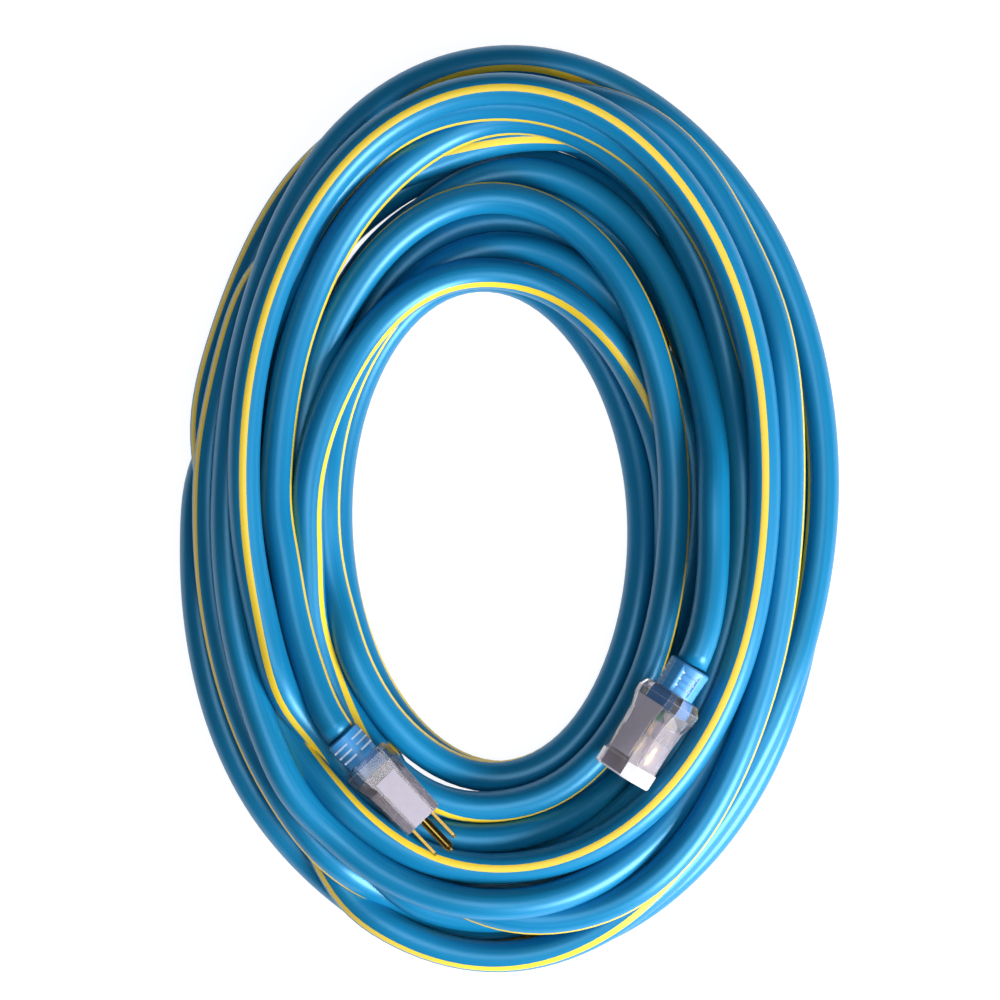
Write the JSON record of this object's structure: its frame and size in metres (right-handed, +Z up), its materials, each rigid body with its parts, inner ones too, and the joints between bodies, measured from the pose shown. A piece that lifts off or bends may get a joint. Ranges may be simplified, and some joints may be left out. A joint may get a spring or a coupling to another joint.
{
  "type": "shore power extension cord",
  "caption": "Thick round power cord wound into an oval coil, with a clear grounded plug on one end and a clear lit connector on the other.",
  "frame": {"origin": "on the surface the coil lies on, under the middle of the whole cord's box", "axes": "+Y along the coil's long way, +Z up from the surface, +X to the side where the connector lies"},
  "size_m": [0.32, 0.455, 0.0839],
  "materials": {
    "jacket": "satin blue jacket with one yellow stripe along it",
    "relief": "satin moulded",
    "clear_body": "clear moulded, slightly smoky",
    "bridge": "translucent moulded",
    "brass": "bright stamped",
    "wire_black": "smooth insulation",
    "wire_white": "smooth insulation",
    "wire_green": "smooth insulation",
    "lamp_glass": "lit glass bulb",
    "resistor": "matte",
    "tinned_lead": "tinned wire"
  },
  "bodies": {
    "root": {"coil": "jacket", "plug_tail": "jacket", "connector_tail": "jacket", "plug_strain_relief": "relief", "plug_shell": "clear_body", "plug_bridge": "bridge", "plug_blade_hot": "brass", "plug_blade_neutral": "brass", "plug_ground_pin": "brass", "plug_wire_hot": "wire_black", "plug_wire_neutral": "wire_white", "plug_wire_ground": "wire_green", "connector_strain_relief": "relief", "connector_shell": "clear_body", "connector_insert": "bridge", "connector_contact_hot": "brass", "connector_contact_neutral": "brass", "connector_contact_ground": "brass", "connector_wire_hot": "wire_black", "connector_wire_neutral": "wire_white", "connector_wire_ground": "wire_green", "connector_lamp": "lamp_glass", "connector_lamp_resistor": "resistor", "connector_lamp_lead_series": "tinned_lead", "connector_lamp_lead_neutral": "tinned_lead", "connector_lamp_lead_hot": "tinned_lead"}
  },
  "joints": []
}
